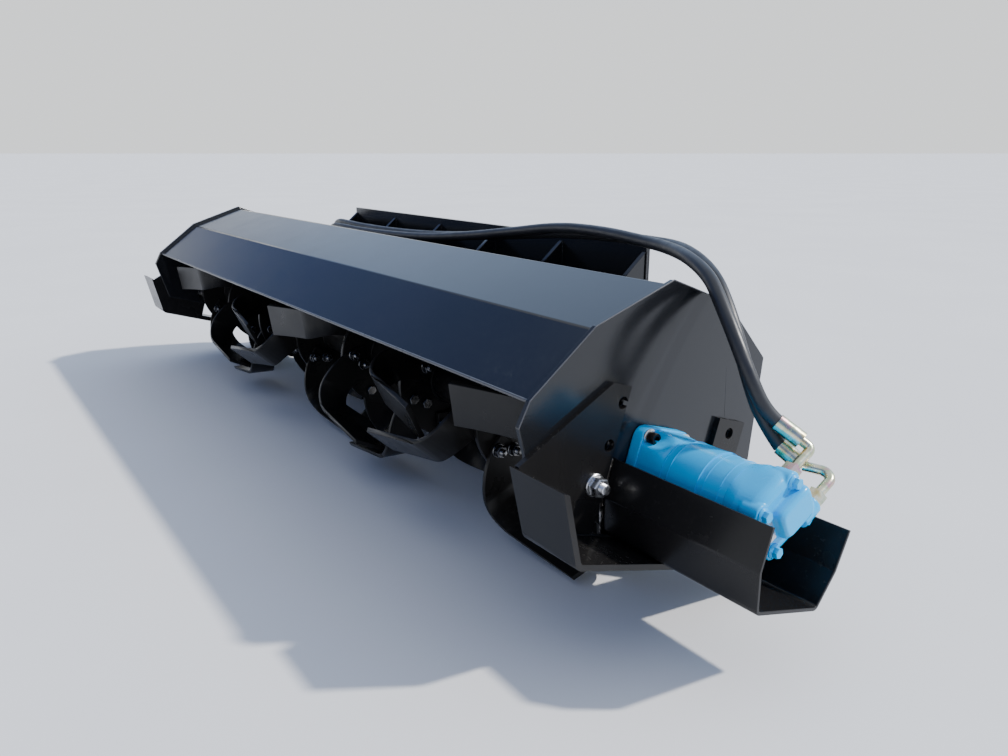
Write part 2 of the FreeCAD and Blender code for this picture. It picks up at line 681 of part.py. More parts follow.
def hexagon(start, way, half, length):
    """A hexagonal bar from start, with two of its flats across the rotor's direction."""
    side = way.cross(V(1, 0, 0))
    corners = []
    for number in range(7):
        angle = math.radians(60 * number)
        spoke = V(1, 0, 0) * math.cos(angle) + side * math.sin(angle)
        corners.append(start + spoke * (half / math.cos(math.radians(30))))
    return Part.Face(Part.makePolygon(corners)).extrude(way * length)


def port_fitting(along, across, hose_start, hose_way):
    """The nut on a port, a bent pipe, and the sleeve crimped on the hose."""
    lean = math.radians(value("hood_tilt + cap_turn"))
    out = V(0, math.sin(lean), math.cos(lean))
    back = V(0, math.cos(lean), -math.sin(lean))
    port = V(value(PLATE_OUTSIDE + " + " + along), 0, 0) + out * value("port_face") + back * value(across)
    nut = hexagon(port, out, value("nut_half"), value("port_nut"))
    corner = port + out * (value("port_nut") + value("elbow_rise"))
    sleeve = Part.makeCylinder(value("ferrule_radius"), value("ferrule_length"), hose_start, -hose_way)
    sleeve_end = hose_start - hose_way * value("ferrule_length")
    pipe = swept([port, corner, sleeve_end], value("elbow_radius"))
    return nut.fuse([pipe, sleeve]).removeSplitter()


COUPLER_RINGS = [
    # length, radius
    (22, 13), (8, 10), (34, 13.5), (24, 11),
]


def coupler(start, way):
    solid = Part.makeCylinder(value("hose_radius"), 1, start, way)
    spot = start
    for length, radius in COUPLER_RINGS:
        solid = solid.fuse(Part.makeCylinder(radius, length, spot, way))
        spot = spot + way * length
    return solid.removeSplitter()


for (name, along, across), route in zip(PORTS, (FRONT_HOSE, REAR_HOSE)):
    points = routed(route)
    shape_piece("hose_" + name, hose(points))
    start_way = (points[1] - points[0]).normalize()
    shape_piece("port_fitting_" + name, port_fitting(along, across, points[0], start_way))
    end_way = (points[-1] - points[-2]).normalize()
    shape_piece("coupler_" + name, coupler(points[-1], end_way))

# Checks and files
doc.recompute()
for item in doc.Objects:
    if "Invalid" in item.State or "Error" in item.State:
        raise ValueError(item.Name + " failed: " + str(item.State))
for piece in pieces:
    if piece.Shape.isNull() or not piece.Shape.isValid():
        raise ValueError(piece.Label + " has no valid shape")
os.makedirs("parts", exist_ok=True)
for piece in pieces:
    piece.Shape.exportStep("parts/%s.step" % piece.Label)
rigid = Part.makeCompound([piece.Shape for piece in pieces if not piece.Label.startswith("hose")])
print("pieces", len(pieces), "box", rigid.BoundBox)
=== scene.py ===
"""Looks of the rotary tiller: paint, rubber and plated steel, bolts, welds and hoses."""
import bmesh
import bpy
import json
import math
import random
from mathutils import Matrix, Vector


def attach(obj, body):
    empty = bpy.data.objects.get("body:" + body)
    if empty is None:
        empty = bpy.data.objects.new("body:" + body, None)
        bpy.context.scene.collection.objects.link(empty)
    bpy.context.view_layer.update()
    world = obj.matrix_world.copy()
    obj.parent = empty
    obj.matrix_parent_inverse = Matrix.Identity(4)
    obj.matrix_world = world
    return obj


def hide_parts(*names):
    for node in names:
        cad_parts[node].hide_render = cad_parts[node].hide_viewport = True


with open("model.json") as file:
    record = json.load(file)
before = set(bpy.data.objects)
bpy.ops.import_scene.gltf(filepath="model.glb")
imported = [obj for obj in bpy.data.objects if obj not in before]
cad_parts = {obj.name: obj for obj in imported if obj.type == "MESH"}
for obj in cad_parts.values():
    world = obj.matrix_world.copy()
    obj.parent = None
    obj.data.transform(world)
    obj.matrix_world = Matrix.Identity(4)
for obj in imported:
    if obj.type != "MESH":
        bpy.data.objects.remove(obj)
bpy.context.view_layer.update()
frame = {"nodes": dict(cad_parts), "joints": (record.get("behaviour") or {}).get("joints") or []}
random.seed(7)

# Shared directions and places. Lengths and radii are in millimetres and angles in degrees,
# except where a comment says metres.
AXIS = Vector(frame["joints"][0]["pos_m"])  # metres
RIGHT = Vector((1, 0, 0))
HOOD_TILT = 18
HOOD_TURN = Matrix.Rotation(math.radians(-HOOD_TILT), 3, "X")
CAP_TURN = Matrix.Rotation(math.radians(-HOOD_TILT - 45), 3, "X")
HALF_HOOD = 875


def level(x, y, z):
    """A point from the rotor axis, in level directions."""
    return AXIS + Vector((x, y, z)) / 1000


def tilted(x, y, z):
    """A point from the rotor axis, square to the leaning hood."""
    return AXIS + HOOD_TURN @ Vector((x, y, z)) / 1000


def capped(x, y, z):
    """A point from the end plate's face, in the directions of the motor's end cap."""
    return AXIS + RIGHT * HALF_HOOD / 1000 + CAP_TURN @ Vector((x, y, z)) / 1000


def round_axis(x, radius, degrees):
    """A point at a radius and an angle from straight up, turning towards the hood's front."""
    angle = math.radians(degrees)
    return level(x, -radius * math.sin(angle), radius * math.cos(angle))


def corners(half):
    """The corners of a square round a middle."""
    return [(across, up) for across in (-half, half) for up in (-half, half)]


def placed(name, data):
    """A new object in the scene."""
    piece = bpy.data.objects.new(name, data)
    bpy.context.scene.collection.objects.link(piece)
    return piece


# Camera before the motor's end, in metres from the rotor axis
CAMERA_FROM_AXIS = Vector((1.569, -0.757, 0.411))
CAMERA_ANGLES = (73.852, 0.0, 53.82)
camera_data = bpy.data.cameras.new("camera")
camera_data.sensor_width = 36.0
camera_data.lens = 28.0
camera_data.clip_end = 200.0
camera = placed("camera", camera_data)
camera.location = AXIS + CAMERA_FROM_AXIS
camera.rotation_euler = [math.radians(angle) for angle in CAMERA_ANGLES]
bpy.context.scene.camera = camera


# Materials
def feed(tree, content, socket):
    """Sets a socket to a number or a colour, or links another node's output to it."""
    if isinstance(content, bpy.types.NodeSocket):
        tree.links.new(content, socket)
    elif isinstance(content, tuple):
        socket.default_value = (*content, 1)
    else:
        socket.default_value = content


def blended(tree, factor, first, second):
    """One colour turning into another as the factor goes from 0 to 1."""
    node = tree.nodes.new("ShaderNodeMix")
    node.data_type = "RGBA"
    for name, content in (("Factor", factor), ("A", first), ("B", second)):
        feed(tree, content, node.inputs[name])
    return node.outputs["Result"]


class Shader:
    """A material's node tree, with short calls for the nodes that these finishes need."""

    def __init__(self, name):
        self.material = bpy.data.materials.new(name)
        self.material.use_nodes = True
        self.tree = self.material.node_tree
        self.bsdf = self.tree.nodes["Principled BSDF"]
        self.place = self.node("TexCoord").outputs["Object"]

    def node(self, kind, **contents):
        """A new node, with each named input set or linked."""
        node = self.tree.nodes.new("ShaderNode" + kind)
        for name, content in contents.items():
            feed(self.tree, content, node.inputs[name])
        return node

    def set(self, **contents):
        """Sets or links inputs of the surface itself."""
        for name, content in contents.items():
            feed(self.tree, content, self.bsdf.inputs[name.replace("_", " ")])

    def noise(self, waves, detail, rough=0.5):
        """An uneven pattern from 0 to 1, with so many waves in a metre."""
        return self.node("TexNoise", Scale=waves, Detail=detail, Roughness=rough,
                         Vector=self.place).outputs["Fac"]

    def ramp(self, source, stops):
        """Stops are pairs of a position and a number or colour."""
        node = self.node("ValToRGB", Fac=source)
        elements = node.color_ramp.elements
        for i, (position, content) in enumerate(stops):
            element = elements[i] if i < 2 else elements.new(position)
            element.position = position
            colour = (content, content, content) if isinstance(content, float) else content
            element.color = (*colour, 1)
        return node.outputs["Color"]

    def math(self, operation, first, second):
        node = self.node("Math")
        node.operation = operation
        for content, socket in zip((first, second), node.inputs):
            feed(self.tree, content, socket)
        return node.outputs["Value"]

    def upward(self, low, high):
        """1 where the surface looks up, 0 where it looks sideways or down."""
        split = self.node("SeparateXYZ", Vector=self.node("NewGeometry").outputs["Normal"])
        return self.ramp(split.outputs["Z"], [(low, 0.0), (high, 1.0)])

    def bump(self, source, strength, distance):
        """Fine relief on top of what is there; its height is in metres."""
        node = self.node("Bump", Strength=strength, Distance=distance, Height=source)
        normal = self.bsdf.inputs["Normal"]
        if normal.is_linked:
            self.tree.links.new(normal.links[0].from_socket, node.inputs["Normal"])
        self.tree.links.new(node.outputs["Normal"], normal)


# Patterns of the finishes, in waves per metre
TONE_WAVES, SPECK_WAVES, DUST_WAVES = 2.3, 140.0, 5.0
GLOSS_WAVES, PEEL_WAVES, SHEET_WAVES = 14.0, 420.0, 7.0
WIPE_WAVES, GRIND_WAVES = 160.0, 700.0
HOSE_TONE_WAVES, HOSE_GLOSS_WAVES, CLOTH_WAVES = 18.0, 60.0, 900.0
FLOOR_WAVES = 1.2

DUST_COLOUR = (0.30, 0.28, 0.25)


def paint(name, dark, light, rough, dust, peel=0.03, shine=0.5):
    """Sprayed paint: a faint change of tone, an orange-peel surface, dust where it looks up."""
    shader = Shader(name)
    tone = shader.ramp(shader.noise(TONE_WAVES, 4.0), [(0.35, dark), (0.7, light)])
    specks = shader.ramp(shader.noise(SPECK_WAVES, 5.0, rough=0.7), [(0.55, 0.0), (0.75, 1.0)])
    patches = shader.ramp(shader.noise(DUST_WAVES, 4.0), [(0.4, 0.1), (0.75, 1.0)])
    cover = shader.math("MULTIPLY", specks, patches)
    cover = shader.math("MULTIPLY", cover, shader.upward(0.0, 0.8))
    cover = shader.math("MULTIPLY", cover, dust)
    grain = shader.ramp(shader.noise(GLOSS_WAVES, 5.0), [(0.3, rough[0]), (0.75, rough[1])])
    shader.set(Base_Color=blended(shader.tree, cover, tone, DUST_COLOUR),
               Roughness=shader.math("ADD", grain, cover), Specular_IOR_Level=shine)
    shader.bump(shader.noise(PEEL_WAVES, 2.0), peel, 0.002)
    shader.bump(shader.noise(SHEET_WAVES, 2.0), 0.04, 0.004)
    return shader.material


def metal(name, colours, rough, waves):
    """Plated or bare steel, with a slow change of tint and fine marks."""
    shader = Shader(name)
    steps = [(0.3 + 0.4 * i / (len(colours) - 1), c) for i, c in enumerate(colours)]
    marks = shader.ramp(shader.noise(WIPE_WAVES, 4.0), [(0.3, rough[0]), (0.7, rough[1])])
    shader.set(Metallic=1.0, Base_Color=shader.ramp(shader.noise(waves, 2.0), steps),
               Roughness=marks)
    shader.bump(shader.noise(GRIND_WAVES, 3.0), 0.08, 0.0005)
    return shader.material


def rubber(name, dark, light, rough):
    """Hose rubber, with the fine print of the cloth that it is cured in."""
    shader = Shader(name)
    tone = shader.ramp(shader.noise(HOSE_TONE_WAVES, 4.0), [(0.3, dark), (0.7, light)])
    marks = shader.ramp(shader.noise(HOSE_GLOSS_WAVES, 4.0), [(0.3, rough[0]), (0.7, rough[1])])
    shader.set(Base_Color=tone, Roughness=marks)
    shader.bump(shader.noise(CLOTH_WAVES, 2.0), 0.12, 0.0006)
    return shader.material


BLACK = paint("black_paint", (0.007, 0.0075, 0.009), (0.010, 0.011, 0.013),
              rough=(0.13, 0.20), dust=0.10)
GUARD_BLACK = paint("guard_paint", (0.008, 0.008, 0.009), (0.013, 0.012, 0.011),
                    rough=(0.20, 0.30), dust=0.2, shine=0.27)
ROTOR_BLACK = paint("rotor_paint", (0.007, 0.007, 0.007), (0.012, 0.011, 0.010),
                    rough=(0.25, 0.40), dust=0.15, shine=0.2)
BLUE = paint("blue_paint", (0.0, 0.42, 0.84), (0.0, 0.46, 0.91),
             rough=(0.2, 0.3), dust=0.02, peel=0.06, shine=0.4)
# Grey lighter than the black paint: a painted highlight for the bright line along the hood's lip
# and the end plates' edges
LIP_HIGHLIGHT = paint("edge_highlight_paint", (0.045, 0.045, 0.05), (0.08, 0.08, 0.085),
                 rough=(0.2, 0.3), dust=0.1)
ZINC = metal("zinc", [(0.55, 0.56, 0.58), (0.72, 0.72, 0.72)], rough=(0.22, 0.4), waves=60.0)
# Zinc painted darker: painted shade for the bolts that sit in the shadow under the hood
SHADED_ZINC = metal("shaded_zinc", [(0.12, 0.12, 0.125), (0.28, 0.28, 0.28)],
                  rough=(0.15, 0.3), waves=80.0)
YELLOW_ZINC = metal("yellow_zinc", [(0.62, 0.50, 0.22), (0.80, 0.74, 0.56),
                                    (0.55, 0.62, 0.40), (0.70, 0.36, 0.42)],
                    rough=(0.18, 0.32), waves=45.0)
BOLT_BLACK = metal("black_oxide", [(0.035, 0.03, 0.03), (0.06, 0.05, 0.045)],
                   rough=(0.3, 0.45), waves=60.0)
WELD = metal("bright_weld", [(0.02, 0.02, 0.02), (0.05, 0.045, 0.04), (0.62, 0.58, 0.52)],
             rough=(0.2, 0.4), waves=90.0)
STEEL = metal("steel", [(0.30, 0.30, 0.31), (0.45, 0.45, 0.46)], rough=(0.25, 0.4), waves=30.0)
RUBBER = rubber("hose_rubber", (0.011, 0.012, 0.015), (0.02, 0.021, 0.025), rough=(0.34, 0.5))


def nodes_from(*starts):
    return [name for name in frame["nodes"] if name.startswith(starts)]


def dress(nodes, material):
    for node in nodes:
        mesh = frame["nodes"][node].data
        mesh.materials.clear()
        mesh.materials.append(material)


dress(frame["nodes"], BLACK)
dress(nodes_from("motor_guard", "skid_shoe"), GUARD_BLACK)
dress(nodes_from("blade", "rotor_tube"), ROTOR_BLACK)
dress(nodes_from("rotor_shaft"), STEEL)
dress(nodes_from("motor_flange", "motor_body", "motor_cap"), BLUE)
dress(nodes_from("port_fitting", "coupler"), YELLOW_ZINC)


def soften(nodes, width, angle):
    """Small rounded edges on plates, so that they catch the light. The width is in metres."""
    for node in nodes:
        piece = frame["nodes"][node]
        weld = piece.modifiers.new("join", "WELD")
        weld.merge_threshold = 0.00002
        bevel = piece.modifiers.new("edges", "BEVEL")
        bevel.width = width
        bevel.segments = 2
        bevel.limit_method = "ANGLE"
        bevel.angle_limit = math.radians(angle)
        bevel.harden_normals = True


def cast(piece, voxel, rounds):
    """A cast housing: its forms run together with rounded edges. The voxel is in metres."""
    remesh = piece.modifiers.new("cast", "REMESH")
    remesh.mode = "VOXEL"
    remesh.voxel_size = voxel
    remesh.use_smooth_shade = True
    smooth = piece.modifiers.new("rounded", "SMOOTH")
    smooth.factor = 0.5
    smooth.iterations = rounds


soften(nodes_from("hood_shell", "end_plate", "skid_shoe", "motor_guard", "loader_plate",
                  "hitch_rib"), width=0.0011, angle=25)
soften(nodes_from("blades_"), width=0.0009, angle=40)
soften(nodes_from("rotor_bearing", "blade_flange"), width=0.0010, angle=40)
cast(frame["nodes"]["motor_flange"], voxel=0.0014, rounds=6)


# Small parts
def around(way, sides):
    """Directions square to a line, one for each corner of a ring round it."""
    side = way.orthogonal().normalized()
    other = way.cross(side)
    angles = [2 * math.pi * i / sides for i in range(sides)]
    return [side * math.cos(angle) + other * math.sin(angle) for angle in angles]


RIPPLE, BEAD_SIDES = 2.2, 8


class Parts:
    """Gathers small solids into one mesh. Each starts at a point and goes one way from it."""

    def __init__(self):
        self.mesh = bmesh.new()

    def ring(self, points):
        return [self.mesh.verts.new(point) for point in points]

    def skin(self, rings, low_end=True, high_end=True):
        """Faces from each ring to the next, and over the ends."""
        for low, high in zip(rings, rings[1:]):
            for i in range(len(low)):
                j = (i + 1) % len(low)
                self.mesh.faces.new((low[i], low[j], high[j], high[i]))
        if low_end:
            self.mesh.faces.new(list(reversed(rings[0])))
        if high_end:
            self.mesh.faces.new(rings[-1])

    def turned(self, start, way, profile, sides=24):
        """A solid round a line; the profile is pairs of a distance along it and a radius."""
        spokes = around(way, sides)
        self.skin([self.ring(start + (way * along + spoke * radius) / 1000 for spoke in spokes)
                   for along, radius in profile])

    def washer(self, start, way, radius, depth):
        self.turned(start, way, [(0, radius), (depth * 0.7, radius), (depth, radius * 0.94)])

    def hexagon(self, start, way, radius, depth):
        """A nut or bolt head with its corners turned off."""
        self.turned(start, way, [(0, radius * 0.93), (depth * 0.12, radius),
                                 (depth * 0.85, radius), (depth, radius * 0.9)], sides=6)

    def thread(self, start, way, radius, length, pitch=1.75):
        profile = []
        along = 0.0
        while along < length - pitch:
            profile += [(along, radius * 0.9), (along + pitch / 2, radius)]
            along += pitch
        profile += [(length - 0.6, radius * 0.93), (length, radius * 0.78)]
        self.turned(start, way, profile, sides=16)

    def stud(self, start, way, size):
        """A washer, a nut and the threaded end that stands out of it."""
        depth = size * 0.18
        self.washer(start, way, size, depth)
        lift = start + way * depth / 1000
        self.hexagon(lift, way, size * 0.87, size * 0.8)
        self.thread(lift, way, size / 2, size * 1.25)

    def bolt(self, start, way, size, grip):
        """A hex bolt through a grip: the nut at the start, a low head behind."""
        self.stud(start, way, size)
        self.hexagon(start - way * grip / 1000, -way, size * 0.87, size * 0.54)

    def bead(self, points, radius):
        """A weld bead: overlapping ripples along a line."""
        path = []
        for start, end in zip(points, points[1:]):
            way = (end - start).normalized()
            steps = max(1, round((end - start).length * 1000 / RIPPLE))
            path += [(start.lerp(end, i / steps), way) for i in range(steps)]
        path.append((points[-1], path[-1][1]))
        rings = []
        for number, (centre, way) in enumerate(path):
            swell = radius * (0.86 + 0.16 * (number % 2) + random.uniform(-0.07, 0.07))
            rings.append(self.ring(centre + spoke * swell / 1000
                                   for spoke in around(way, BEAD_SIDES)))
        for low, high in zip(rings, rings[1:]):
            first = min(range(BEAD_SIDES), key=lambda k: (low[0].co - high[k].co).length)
            self.skin([low, high[first:] + high[:first]], low_end=False, high_end=False)

    def made(self, name, material, body="frame", crease=40):
        bmesh.ops.recalc_face_normals(self.mesh, faces=self.mesh.faces[:])
        mesh = bpy.data.meshes.new(name)
        self.mesh.to_mesh(mesh)
        self.mesh.free()
        for face in mesh.polygons:
            face.use_smooth = True
        mesh.set_sharp_from_angle(angle=math.radians(crease))
        mesh.materials.append(material)
        piece = placed(name, mesh)
        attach(piece, body)
        return piece


# Skid shoe bolts
SHOE_BOLT, SHOE_FACE, SHOE_BOLT_SIZE = (-104, -38), HALF_HOOD + 8, 16
for side, name in ((1, "motor"), (-1, "far")):
    bolts = Parts()
    bolts.stud(tilted(side * SHOE_FACE, *SHOE_BOLT), RIGHT * side, SHOE_BOLT_SIZE)
    bolts.made("shoe_bolts_" + name, ZINC)

# Blade bolts: two through each blade and its flange. The first and the last flange have
# blades on one side only.
FLANGES = 8
FIRST_FLANGE = 26 - HALF_HOOD
PITCH = -2 * FIRST_FLANGE / (FLANGES - 1)
FLANGE_PLACES = [FIRST_FLANGE + PITCH * number for number in range(FLANGES)]
BLADES_ROUND = 6
FIRST_BLADE, PHASE_STEP, TURNED_BACK = 73, 40, 3
BLADE_HOLES = [(68, -30), (88, -47)]
BLADE_FACE, BLADE_BOLT_SIZE, BLADE_GRIP = 13, 12, 18
for number, middle in enumerate(FLANGE_PLACES):
    bolts = Parts()
    for turn in range(BLADES_ROUND):
        hand = 1 if turn % 2 else -1
        if number == (FLANGES - 1 if hand == 1 else 0):
            continue
        tip = FIRST_BLADE + PHASE_STEP * (FLANGES - 1 - number) + 360 / BLADES_ROUND * turn
        tip -= TURNED_BACK if hand == 1 else 0
        for radius, degrees in BLADE_HOLES:
            start = round_axis(middle + hand * BLADE_FACE, radius, tip + degrees)
            bolts.bolt(start, RIGHT * hand, BLADE_BOLT_SIZE, BLADE_GRIP)
    # The blade bolts take the darker zinc, painted shade for the hood's shadow over the rotor
    bolts.made("blade_bolts_%d" % (number + 1), SHADED_ZINC, "rotor")

# Welds of the hood and of the shoes' seams. Sections are pairs of a place across the hood
# and a height, both from the rotor axis.
SMALL_BEAD, TUBE_BEAD, PLATE_BEAD, GUARD_BEAD = 2.6, 2.8, 3.0, 3.4
HOOD_SECTION = [(-234, 54), (-162, 156), (-49, 239), (73, 234), (187, 175), (229, -20)]
SHOE_SEAM = [(-236, -28), (-189, -106), (205, -106)]
welds = Parts()
for side in (1, -1):
    welds.bead([tilted(side * (HALF_HOOD - 9), y, z) for y, z in HOOD_SECTION], SMALL_BEAD)
    welds.bead([tilted(side * (HALF_HOOD + 9), y, z) for y, z in SHOE_SEAM], PLATE_BEAD)
welds.made("hood_welds", BLACK, crease=80)

# Bright welds of the guard, outside and inside its section
GUARD_SECTION = [(-76, -1), (-76, -54), (-58, -104), (69, -104), (89, -54), (95, -1)]
OUTSIDE = [(y * 1.01, z * 1.01 - 0.5) for y, z in GUARD_SECTION]
INSIDE = [(y * 0.93, z * 0.95) for y, z in GUARD_SECTION]
guard_weld = Parts()
for section, radius in ((OUTSIDE, GUARD_BEAD), (INSIDE, PLATE_BEAD)):
    guard_weld.bead([tilted(HALF_HOOD + 1, y, z) for y, z in section], radius)
guard_weld.made("guard_weld", WELD, crease=80)

# Painted highlights along the hood's lip and the end plates' edges: thin tubes in a grey lighter
# than the black paint
LIP_PLACE, LIP_SET_IN, LIP_RADIUS = (-234.4, 53.4), 9, 2.4
lip = Parts()
lip.turned(tilted(LIP_SET_IN - HALF_HOOD, *LIP_PLACE), RIGHT,
           [(0, LIP_RADIUS), (2 * (HALF_HOOD - LIP_SET_IN), LIP_RADIUS)], sides=12)
lip.made("hood_lip_highlight", LIP_HIGHLIGHT)
PLATE_OUTLINE = [(74.8, 239.7), (-50.2, 244.9), (-166.3, 160.2), (-239.8, 55.3), (-246.0, 20.0)]
EDGE_RADIUS, EDGE_LAP = 0.9, 0.3
plate_edges = Parts()
for side in (1, -1):
    turns = [tilted(side * (HALF_HOOD - 0.5), y, z) for y, z in PLATE_OUTLINE]
    for start, end in zip(turns, turns[1:]):
        length = (end - start).length * 1000
        plate_edges.turned(start, (end - start).normalized(),
                           [(-EDGE_LAP, EDGE_RADIUS), (length + EDGE_LAP, EDGE_RADIUS)], sides=10)
plate_edges.made("end_plate_highlights", LIP_HIGHLIGHT)

# Welds on both sides of each rib and of each blade flange
RIB_EDGES = [[(279, -103), (279, 237)], [(170.6, 170.5), (231.9, 108.7), (211.6, -89.8)]]
RIBS, FIRST_RIB, RIB_PITCH, RIB_SIDE = 6, -578, 231.2, 5.5
rib_welds = Parts()
for number in range(RIBS):
    for side in (-RIB_SIDE, RIB_SIDE):
        x = FIRST_RIB + RIB_PITCH * number + side
        for edge in RIB_EDGES:
            rib_welds.bead([level(x, y, z) for y, z in edge], SMALL_BEAD)
rib_welds.made("rib_welds", BLACK, crease=80)
TUBE_RADIUS, FLANGE_SIDE, TUBE_STEPS = 45.5, 6, 24
TUBE_ANGLES = [360 / TUBE_STEPS * i for i in range(TUBE_STEPS + 1)]
tube_welds = Parts()
for middle in FLANGE_PLACES:
    for x in (middle - FLANGE_SIDE, middle + FLANGE_SIDE):
        tube_welds.bead([round_axis(x, TUBE_RADIUS, angle) for angle in TUBE_ANGLES], TUBE_BEAD)
tube_welds.made("tube_welds", ROTOR_BLACK, "rotor", crease=80)


def rounded_square(half, power, degrees):
    """How far a rounded square reaches from its middle at an angle; power 2 is a circle."""
    angle = math.radians(degrees)
    return half / (abs(math.cos(angle)) ** power + abs(math.sin(angle)) ** power) ** (1 / power)


# Motor neck: a rounded square at the flange, with a pocket at each bolt, and round at the
# body. The pockets fade out towards the body.
BODY_RADIUS, NECK_TAPER = 48.2, 0.4
FLANGE_POWER, BODY_POWER = 7, 2
POCKET_SPREAD, POCKET_END, POCKET_FADE = 15, 1.15, 2.5
NECK_START, NECK_STEP, NECK_STEPS, NECK_SIDES = 17.5, 3, 14, 96
neck = Parts()
rings = []
for step in range(NECK_STEPS + 1):
    x = HALF_HOOD + NECK_START + NECK_STEP * step
    share = step / NECK_STEPS
    power = FLANGE_POWER - (FLANGE_POWER - BODY_POWER) * share ** 0.7
    pocket_depth = min(1.0, max(0.0, (POCKET_END - share) * POCKET_FADE))
    points = []
    for degrees in [360 / NECK_SIDES * i for i in range(NECK_SIDES)]:
        radius = rounded_square(BODY_RADIUS - NECK_TAPER * share, power, degrees)
        from_corner = (degrees % 90 - 45) / POCKET_SPREAD
        pocket = math.exp(-from_corner ** 4) * pocket_depth
        radius += (BODY_RADIUS - radius) * pocket if radius > BODY_RADIUS else 0
        angle = math.radians(degrees)
        points.append(tilted(x, radius * math.cos(angle), radius * math.sin(angle)))
    rings.append(neck.ring(points))
neck.skin(rings, low_end=False)
neck.made("motor_neck", BLUE)

# Joint lines of the motor: pairs of a distance from the end plate and a radius
JOINT_LINES = [(60, 48.2), (72, 49.6), (118, 49.6), (127, 48.2), (150, 48.2)]
lines = Parts()
for x, radius in JOINT_LINES:
    low, high = radius - 0.4, radius + 0.5
    lines.turned(tilted(HALF_HOOD + x, 0, 0), RIGHT,
                 [(0, low), (0.4, high), (1.0, high), (1.4, low)], sides=72)
lines.made("motor_joint_lines", BLUE)

# Motor flange bolts
FLANGE_BOLT, FLANGE_FACE = 37, HALF_HOOD + 18
flange_bolts, flange_washers = Parts(), Parts()
for corner in corners(FLANGE_BOLT):
    start = tilted(FLANGE_FACE, *corner)
    flange_washers.turned(start, RIGHT, [(0, 11), (1.6, 11), (2.2, 10), (2.2, 5)], sides=32)
    flange_bolts.turned(start, RIGHT, [(2, 8), (13, 8), (14, 7.4), (14, 4.6), (8, 4.4)])
flange_bolts.made("motor_flange_bolts", BOLT_BLACK)
flange_washers.made("motor_flange_washers", ZINC)


def block(parts, sections, centre=(0, 0)):
    """Rounded outlines stood along the rotor; each is a distance, two half widths and a power."""
    rings = []
    for x, half_y, half_z, power in sections:
        points = []
        for degrees in range(0, 360, 5):
            angle = math.radians(degrees)
            reach = rounded_square(1.0, power, degrees)
            points.append(capped(x, centre[0] + half_y * reach * math.cos(angle),
                                 centre[1] + half_z * reach * math.sin(angle)))
        rings.append(parts.ring(points))
    parts.skin(rings)


# Motor end cap: a rounded block with a raised middle, four bosses and two port bosses
EARS = corners(30)
SEAT = 212
PORT_WAY = CAP_TURN @ Vector((0, 0, 1))
PORTS = [(184, -9), (212, 22)]
cap = Parts()
block(cap, [(160, 47.5, 47.5, 2.1), (168, 46.5, 46.5, 2.6), (176, 46, 46, 3.2), (199, 46, 46, 3.2),
            (204, 44.6, 44.6, 3.2), (208, 42, 42, 3.1), (211, 38, 38, 3), (SEAT, 34, 34, 3)])
block(cap, [(200, 22, 30, 7), (220, 22, 30, 7), (224, 21, 29, 6), (227, 18, 26, 5)], (-1, 12))
for ear in EARS:
    cap.turned(capped(178, *ear), RIGHT,
               [(0, 4), (4, 9), (10, 12.2), (33, 12.6), (34, 11.6)], sides=32)
for along, across in PORTS:
    cap.turned(capped(along, across, 20), PORT_WAY, [(0, 14.5), (29, 14.2), (30, 13.2)], sides=40)
cap_piece = cap.made("motor_cap_cast", BLUE)
cast(cap_piece, voxel=0.0012, rounds=7)
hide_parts("motor_cap")

BOLT_RADIUS, BOLT_HEIGHT = 7.2, 7.5
cap_bolts = Parts()
for ear in EARS:
    cap_bolts.turned(capped(SEAT, *ear), RIGHT, [(0, 9.6), (1.4, 9.6), (3.4, 7.4)], sides=32)
    cap_bolts.hexagon(capped(SEAT + 2, *ear), RIGHT, BOLT_RADIUS, BOLT_HEIGHT)
cap_bolts.made("motor_cap_bolts", BLUE)

# Bare plate on the cap: its two outlines, the lower one a little larger
PLATE_HALF, PLATE_LOW, PLATE_HIGH = 15, -32, -20
plate = Parts()
rings = []
for x, grow in ((0.0, 0.4), (1.2, 0.0)):
    half, low, high = PLATE_HALF + grow, PLATE_LOW - grow, PLATE_HIGH + grow
    outline = ((-half, low), (half, low), (half, high), (-half, high))
    rings.append(plate.ring(capped(SEAT + x, *corner) for corner in outline))
plate.skin(rings)
plate.made("motor_bare_plate", ZINC)

# Far bearing bolts, and the ring round the bearing's bore
BEARING_BOLT, BEARING_BOLT_SIZE, BEARING_GRIP = 42, 12, 22
BEARING_FACE, BEARING_END = -HALF_HOOD - 14, -HALF_HOOD - 38
bearing_bolts = Parts()
for corner in corners(BEARING_BOLT):
    start = tilted(BEARING_FACE, *corner)
    bearing_bolts.bolt(start, -RIGHT, BEARING_BOLT_SIZE, BEARING_GRIP)
bearing_bolts.turned(tilted(BEARING_END, 0, 0), -RIGHT,
                     [(0, 34), (2, 33), (3, 28), (3, 12), (1, 11)], sides=36)
bearing_bolts.made("bearing_bolts", ZINC)

